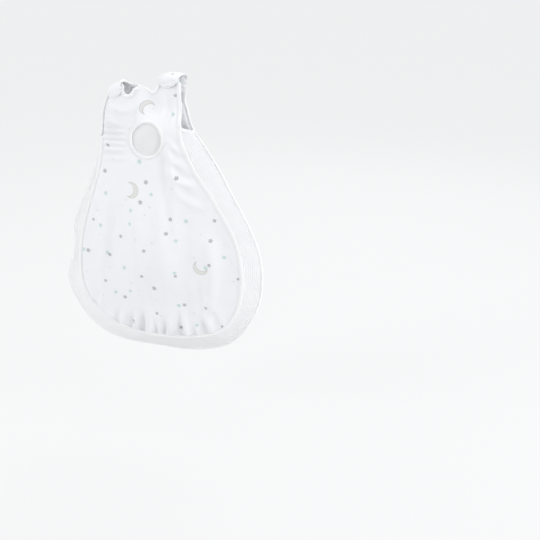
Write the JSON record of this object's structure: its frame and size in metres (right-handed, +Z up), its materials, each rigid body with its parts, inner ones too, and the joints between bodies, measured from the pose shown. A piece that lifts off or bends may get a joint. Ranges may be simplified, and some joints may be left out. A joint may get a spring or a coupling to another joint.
{
  "type": "baby sleeping bag",
  "caption": "Sleeveless pear-shaped baby sleeping bag with a mesh side band, a round chest window, snap shoulder tabs and a side zip at the back, hung by a shoulder loop.",
  "frame": {"origin": "underside of the right shoulder loop, in the middle of its width and depth, where a rail or peg carries the bag", "axes": "+Z up, front faces -Y, +X to the right of someone who faces the front"},
  "size_m": [0.464, 0.0989, 0.625],
  "materials": {
    "printed_quilt": "white cotton with small grey and mint stars and beige crescents",
    "lining": "plain white cotton jersey",
    "wadding": "white polyester fleece",
    "spacer_mesh": "pale grey-white 3-D spacer mesh with small holes",
    "binding": "white cotton bias tape",
    "snap": "white moulded plastic, satin",
    "zip_chain": "white woven tape with moulded white teeth",
    "zip_metal": "white lacquered zinc"
  },
  "bodies": {
    "root": {"front_panel": "printed_quilt", "back_panel": "printed_quilt", "front_lining": "lining", "back_lining": "lining", "front_wadding": "wadding", "back_wadding": "wadding", "mesh_band": "spacer_mesh", "chest_mesh": "spacer_mesh", "front_piping": "binding", "hem_piping": "binding", "neck_binding_front": "binding", "neck_binding_back": "binding", "armhole_binding_right": "binding", "armhole_binding_left": "binding", "chest_ring": "binding", "right_snap_backing": "snap", "right_snap_stud": "snap", "left_snap_backing": "snap", "left_snap_stud": "snap", "zip_stringer_outer": "zip_chain", "zip_stringer_inner": "zip_chain", "zip_stops": "zip_chain"},
    "right_tab": {"right_tab": "printed_quilt", "right_snap_socket": "snap", "right_snap_cap": "snap"},
    "left_tab": {"left_tab": "printed_quilt", "left_snap_socket": "snap", "left_snap_cap": "snap"},
    "zip_slider": {"zip_slider": "zip_metal"},
    "zip_pull": {"zip_pull": "zip_metal"}
  },
  "joints": [
    {"name": "right_tab_hinge", "type": "hinge", "parent": "root", "child": "right_tab", "pos_m": [0, -0.0213, 0.002], "axis": [-1, 0, 0], "range_deg": [0, 150]},
    {"name": "left_tab_hinge", "type": "hinge", "parent": "root", "child": "left_tab", "pos_m": [-0.11, -0.0493, -0.014], "axis": [-1, 0, 0], "range_deg": [0, 150]},
    {"name": "zip_slide", "type": "slide", "parent": "root", "child": "zip_slider", "axis": [-0.4422, 0, -0.8969], "range_m": [0, 0.171], "deforming": ["zip_stringer_outer", "zip_stringer_inner"]},
    {"name": "zip_pull_hinge", "type": "hinge", "parent": "zip_slider", "child": "zip_pull", "pos_m": [-0.15597, -0.0043, -0.15737], "axis": [0.8969, 0, -0.4422], "range_deg": [0, 170]}
  ]
}
